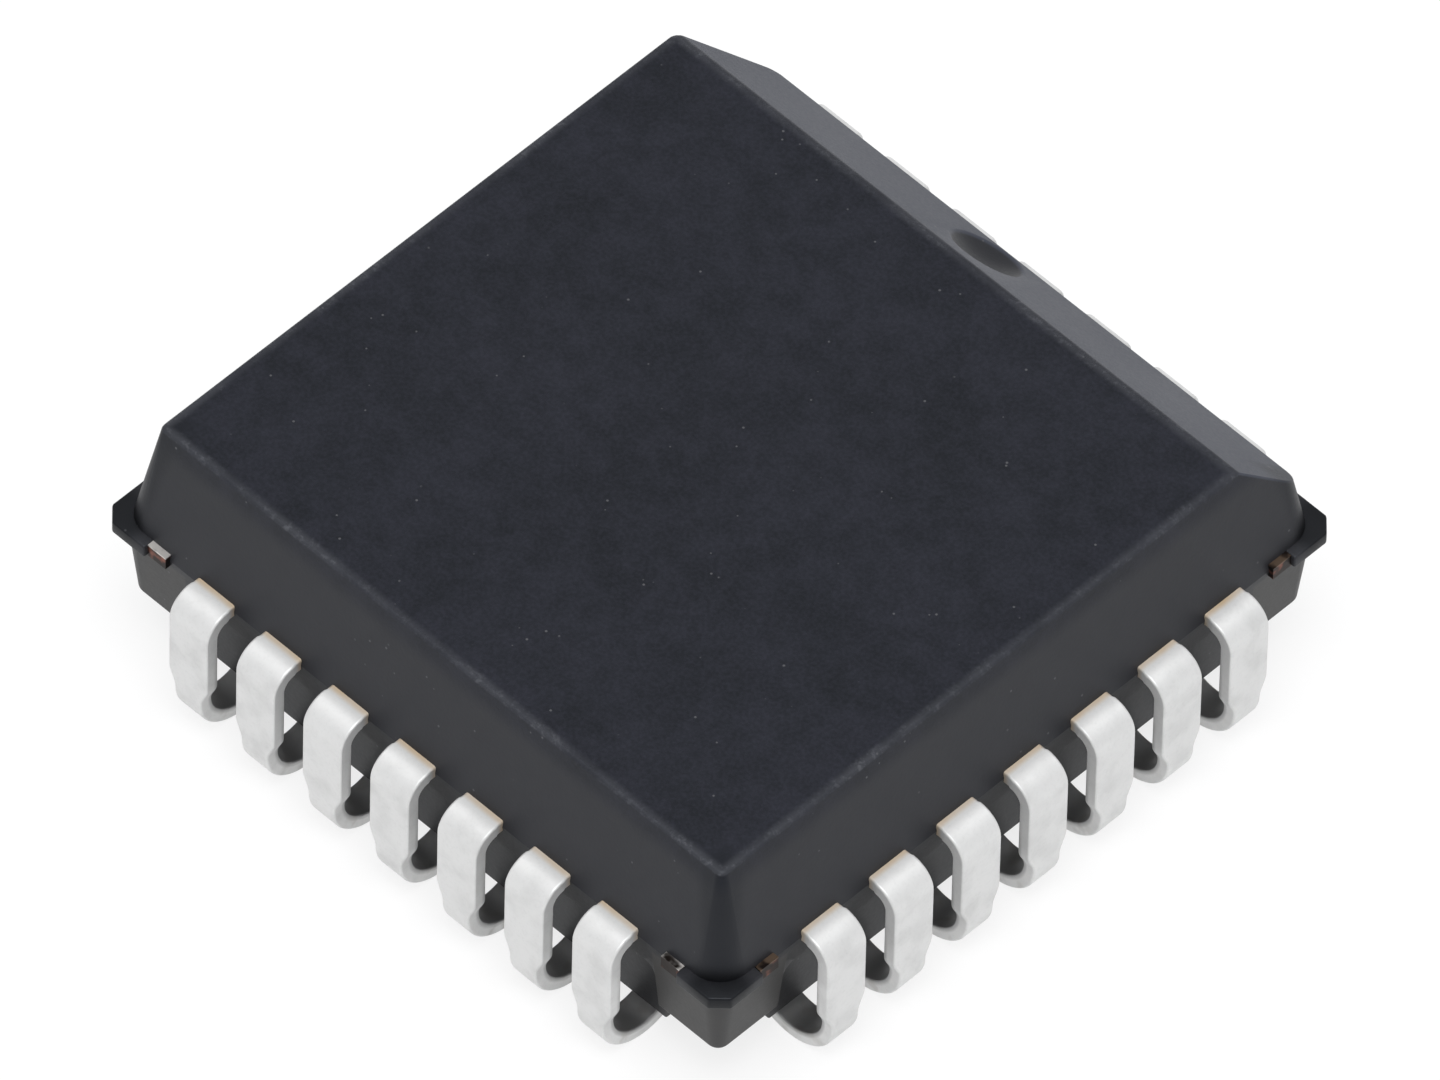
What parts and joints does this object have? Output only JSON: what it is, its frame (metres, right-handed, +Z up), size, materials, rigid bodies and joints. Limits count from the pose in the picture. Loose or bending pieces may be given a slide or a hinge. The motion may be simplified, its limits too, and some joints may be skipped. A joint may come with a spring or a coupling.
{
  "type": "plcc chip",
  "caption": "Square plastic chip carrier with J-shaped leads curled under all four sides, a bevelled pin-one edge with a dimple and one cut index corner; for a board or a socket.",
  "frame": {"origin": "on the board plane that the lead curls stand on, under the middle of the body", "axes": "+Z up through the top face, +Y towards the bevelled side with the pin-one dimple, +X to the right of it seen from above"},
  "size_m": [0.0124, 0.0124, 0.0044],
  "materials": {
    "epoxy": "matte, finely grained",
    "tin_plate": "satin tin plate",
    "copper_alloy": "rolled sheet, cut ends bare",
    "die_bond": "matte, silver filled",
    "silicon": "polished",
    "bond_gold": "bright drawn wire"
  },
  "bodies": {
    "root": {"moulded_body": "epoxy", "lead_01": "tin_plate", "lead_02": "tin_plate", "lead_03": "tin_plate", "lead_04": "tin_plate", "lead_05": "tin_plate", "lead_06": "tin_plate", "lead_07": "tin_plate", "lead_08": "tin_plate", "lead_09": "tin_plate", "lead_10": "tin_plate", "lead_11": "tin_plate", "lead_12": "tin_plate", "lead_13": "tin_plate", "lead_14": "tin_plate", "lead_15": "tin_plate", "lead_16": "tin_plate", "lead_17": "tin_plate", "lead_18": "tin_plate", "lead_19": "tin_plate", "lead_20": "tin_plate", "lead_21": "tin_plate", "lead_22": "tin_plate", "lead_23": "tin_plate", "lead_24": "tin_plate", "lead_25": "tin_plate", "lead_26": "tin_plate", "lead_27": "tin_plate", "lead_28": "tin_plate", "die_pad": "copper_alloy", "die_attach": "die_bond", "silicon_die": "silicon", "bond_wires": "bond_gold"}
  },
  "joints": []
}
